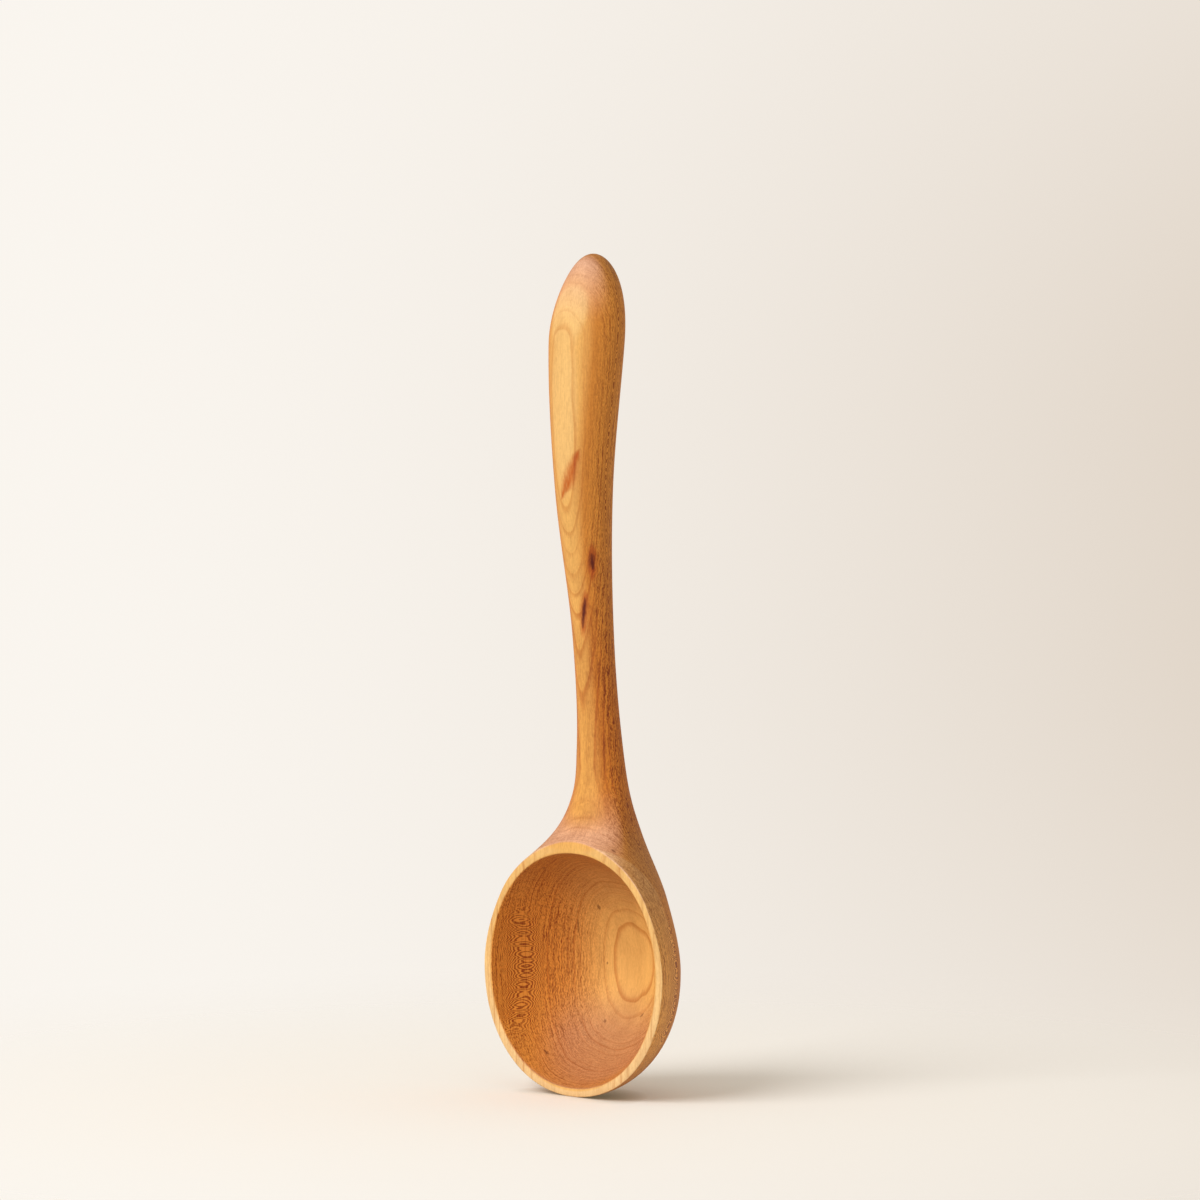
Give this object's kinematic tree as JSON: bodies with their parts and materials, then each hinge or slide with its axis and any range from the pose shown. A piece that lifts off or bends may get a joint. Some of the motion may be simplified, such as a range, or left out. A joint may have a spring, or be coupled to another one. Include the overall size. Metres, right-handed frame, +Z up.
{
  "type": "wooden ladle",
  "caption": "Carved wooden ladle: a deep near-round bowl with a flat rim, a shoulder drawn in to a slim neck, and a gently curved handle that swells to a rounded grip.",
  "frame": {"origin": "middle of the bottom of the ladle's box, level with the tip of the bowl, with the ladle upright", "axes": "+Z up along the handle, -Y the way the mouth of the bowl faces, X across the bowl"},
  "size_m": [0.0918, 0.0456, 0.317],
  "materials": {
    "bowl_wood": "oiled, satin",
    "handle_wood": "oiled, satin"
  },
  "bodies": {
    "root": {"bowl": "bowl_wood", "handle": "handle_wood"}
  },
  "joints": []
}
